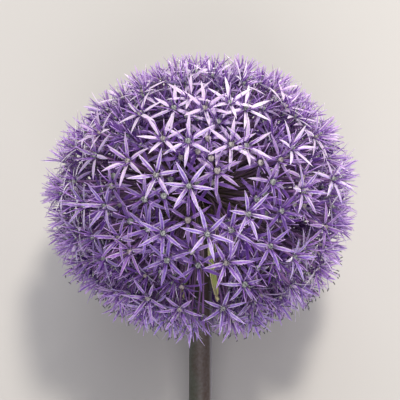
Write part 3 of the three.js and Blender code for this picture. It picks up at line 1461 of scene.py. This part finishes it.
    def pedicels(self) -> bpy.types.Mesh:
        """Model every pedicel.

        Returns:
            Them all, laid down in the model's frame.
        """
        mesh = as_mesh(joined([self.pedicel(spot) for spot in self.spots]), "pedicels")
        self.lie.settle(mesh)
        return mesh

    def knob(self) -> bpy.types.Mesh:
        """Model the receptacle: a ball, flat where the stem carries it.

        Returns:
            The knob, laid down in the model's frame.
        """

        def rule(old: Vector) -> Warp:
            """Lay a point of the ball on the knob.

            Args:
                old: Its place on the ball.

            Returns:
                Its place on the knob, and how high it is.
            """
            place = old * self.knob_radius
            place.z = max(place.z, self.knob_flat)
            return Warp(place, ((old.z + 1) / 2, 0.0, 0.0))

        bm = bmesh.new()
        bmesh.ops.create_icosphere(bm, subdivisions=4, radius=1.0)
        warped(bm, rule)
        mesh = as_mesh(bm, "receptacle")
        mesh.transform(self.lie.matrix())
        return mesh

    def dress(self) -> None:
        """Build every piece of the umbel."""
        petal = PetalSkin().material()
        pedicel = ThreadSkin("allium_pedicel", root="#7a7054", middle="#785f78", tip="#734e86").material()
        filament = ThreadSkin("allium_filament", root="#7a52a8", middle="#9268b8", tip="#bc9fd6").material()
        anther = ThreadSkin("allium_anther", root="#45474a", middle="#62645f", tip="#46434c").material()
        finishes = {
            Organ.OUTER_TEPALS: petal,
            Organ.INNER_TEPALS: petal,
            Organ.OVARY: OvarySkin().material(),
            Organ.FILAMENTS: filament,
            Organ.ANTHERS: anther,
        }
        shapes = [floret.meshes() for floret in self.florets]
        for organ, finish in finishes.items():
            piece = put(organ.value, self.gather(organ, shapes), finish)
            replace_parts(piece, "flower_head")
        for name, mesh in (("pedicels", self.pedicels()), ("receptacle", self.knob())):
            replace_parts(put(name, mesh, pedicel), "flower_head")
        for shape in shapes:
            for mesh in shape.values():
                bpy.data.meshes.remove(mesh)


# ---------------------------------------------------------------------------------------------------------
# Stem and bracts
# ---------------------------------------------------------------------------------------------------------


@dataclass
class Stem:
    """The smooth stalk, cut off square."""

    lie: Lie
    top: float = -6.0
    top_radius: float = 6.3
    sides: int = 48
    cuts: int = 23
    unevenness: float = 0.1
    rind_inset: float = 0.06  # width of the cut end's outer ring, as a share of the radius
    pith_inset: float = 0.3  # the same of the ring inside it

    def mesh(self) -> bpy.types.Mesh:
        """Model the stem.

        Returns:
            The stem, laid down in the model's frame. Its blade attribute holds the share across it, and how
            near the skin a point is.
        """
        length = self.lie.stem_length + self.top
        cut_radius = self.lie.cut_edge

        def rule(old: Vector) -> Warp:
            """Lay a point of the tube on the stem.

            Args:
                old: Its place on the tube.

            Returns:
                Its place on the stem, the share across it, and how near the skin it is.
            """
            azimuth = math.atan2(old.y, old.x)
            girth = blend(cut_radius, self.top_radius, old.z)
            ripple = math.sin(2 * azimuth + 5 * old.z) + 0.6 * math.sin(3 * azimuth)
            wave = math.sin(math.pi * old.z) * ripple
            reach = girth - self.unevenness * (1 + wave)
            place = Vector((old.x * reach, old.y * reach, old.z * length - self.lie.stem_length))
            return Warp(place, (math.cos(azimuth), 0.0, math.hypot(old.x, old.y)))

        bm = ringed_tube(self.sides, self.cuts)
        caps = [face for face in bm.faces if len(face.verts) > 4]
        for inset in (self.rind_inset, self.pith_inset):
            bmesh.ops.inset_individual(bm, faces=caps, thickness=inset)
        warped(bm, rule)
        mesh = as_mesh(bm, "stem_skin")
        mesh.transform(self.lie.matrix())
        return mesh

    def dress(self) -> None:
        """Build the stem's piece."""
        piece = put("stem_skin", self.mesh(), StemSkin().material())
        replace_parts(piece, "stem")


@dataclass
class Bract:
    """One papery valve of the spathe, hanging along the stem."""

    lie: Lie
    node: str
    azimuth: float  # degrees
    top: float = -6.3
    length: float = 52.0
    root_width: float = 5.0
    belly: float = 6.0  # how much wider it would get towards the tip
    tip_width: float = 0.7
    off_stem: float = 7.65  # from the stem's axis at the root
    flare: float = 3.6  # how much further off the stem the tip is
    curl: float = 0.9  # how much further off still the margins are at the tip
    raggedness: float = 0.8
    thickness: float = 0.3
    ribs: int = 5
    rib_depth: float = 0.22
    columns: int = 20
    rows: int = 26

    def mesh(self) -> bpy.types.Mesh:
        """Model the bract, pleated along its ribs.

        Returns:
            The bract, laid down in the model's frame. Its blade attribute holds how far along a point is, how
            near the top of a rib, and how near the margin.
        """

        def rule(old: Vector) -> Warp:
            """Lay a point of the grid on the bract.

            Args:
                old: Its place on the grid.

            Returns:
                Its place on the bract, with the blade attribute's values.
            """
            share, across = 0.5 - old.y, old.x * 2
            width = (1 - share**4) * (self.root_width + self.belly * share**1.5) + self.tip_width
            pleat = math.cos(across * self.ribs * math.pi)
            curl = self.curl * abs(across) ** 3 * share
            off = self.off_stem + self.flare * share**2 + self.rib_depth * pleat + curl
            angle = math.radians(self.azimuth) + across * width / 2 / off
            ragged = self.raggedness * math.sin(across * 7 + 2) * share**6
            height = self.top - (self.length + ragged) * share
            place = Vector((off * math.cos(angle), off * math.sin(angle), height))
            return Warp(place, (share, (pleat + 1) / 2, max(0.0, abs(across) * 4 - 3)))

        bm = bmesh.new()
        bmesh.ops.create_grid(bm, x_segments=self.columns, y_segments=self.rows, size=0.5)
        warped(bm, rule)
        bmesh.ops.recalc_face_normals(bm, faces=bm.faces[:])
        bmesh.ops.solidify(bm, geom=bm.faces[:], thickness=self.thickness)
        mesh = as_mesh(bm, self.node + "_leaf")
        mesh.transform(self.lie.matrix())
        return mesh

    def dress(self, material: bpy.types.Material) -> None:
        """Build the bract's piece."""
        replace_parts(put(self.node + "_leaf", self.mesh(), material), self.node)


# ---------------------------------------------------------------------------------------------------------
# The studio
# ---------------------------------------------------------------------------------------------------------


@dataclass
class Lamp:
    """One soft area light, placed by its direction from the head's centre."""

    name: str
    toward: Vector
    distance: float  # metres
    size: float
    power: float
    colour: str = "#ffffff"

    def hang(self, centre: Vector) -> None:
        """Hang the light and aim it at the head.

        Args:
            centre: The head's centre.
        """
        light = bpy.data.lights.new(self.name, "AREA")
        light.shape = "DISK"
        light.size = self.size
        light.energy = self.power
        light.color = linear(self.colour)[:3]
        lamp = bpy.data.objects.new(self.name, light)
        lamp.location = centre + self.toward.normalized() * self.distance
        lamp.rotation_euler = (-self.toward).to_track_quat("-Z", "Y").to_euler()
        bpy.context.scene.collection.objects.link(lamp)


@dataclass
class Studio:
    """Floor, lights and camera."""

    lie: Lie
    view: View
    floor_size: float = 6.0  # metres
    ambient: float = 0.36
    ambient_colour: str = "#f3f6fc"

    def set_up(self) -> None:
        """Make the camera, floor, lights and world."""
        matrix = self.lie.matrix()
        crown = (matrix.to_3x3() @ UP).normalized()
        toward = (matrix.to_3x3() @ Vector((0, -1, 0))).normalized()
        right = Vector((1, 0, 0))
        axes = Matrix((right, crown, toward)).transposed().to_4x4()
        self.add_camera(Matrix.Translation(matrix @ self.view.eye) @ axes)
        self.add_floor()
        for lamp in (
            Lamp("key", crown * 0.72 + toward * 0.66 + right * 0.18, 1.2, 0.22, 13.0, "#fff8ee"),
            Lamp("sky", crown, 1.5, 1.2, 13.0, "#f6f6ff"),
            Lamp("side", right * 0.9 + crown * 0.55 - toward * 0.2, 1.4, 0.6, 8.0, "#fff8f4"),
            Lamp("fill", toward * 0.85 - crown * 0.5, 1.5, 0.9, 14.5, "#fdf8fc"),
        ):
            lamp.hang(matrix.translation)
        self.light_world()

    def add_camera(self, place: Matrix) -> None:
        """Make the camera.

        Args:
            place: Its matrix in the model's frame.
        """
        lens = bpy.data.cameras.new("camera")
        lens.lens = self.view.lens
        lens.sensor_width = self.view.film
        camera = bpy.data.objects.new("camera", lens)
        camera.matrix_world = place
        bpy.context.scene.collection.objects.link(camera)
        bpy.context.scene.camera = camera

    def add_floor(self) -> None:
        """Make the floor that the flower lies on."""
        bm = bmesh.new()
        bmesh.ops.create_grid(bm, x_segments=1, y_segments=1, size=self.floor_size / 2)
        mesh = as_mesh(bm, "floor")
        mesh.materials.append(FloorPaint().material())
        floor = bpy.data.objects.new("floor", mesh)
        bpy.context.scene.collection.objects.link(floor)

    def light_world(self) -> None:
        """Make the even light that comes from all sides."""
        world = bpy.data.worlds.new("studio")
        world.use_nodes = True
        background = world.node_tree.nodes["Background"]
        background.inputs["Color"].default_value = linear(self.ambient_colour)
        background.inputs["Strength"].default_value = self.ambient
        bpy.context.scene.world = world
        bpy.context.scene.view_settings.view_transform = "Standard"


def main() -> None:
    """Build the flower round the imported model."""
    logging.basicConfig(level=logging.INFO, format="%(name)s %(message)s")
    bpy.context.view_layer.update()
    lie = Lie()
    view = View()
    Studio(lie, view).set_up()
    umbel = Umbel(lie, view)
    umbel.grow()
    umbel.dress()
    Stem(lie).dress()
    leaf = BractSkin().material()
    for node, azimuth in BRACT_AZIMUTHS.items():
        Bract(lie, node, azimuth).dress(leaf)


if __name__ == "__main__":
    main()
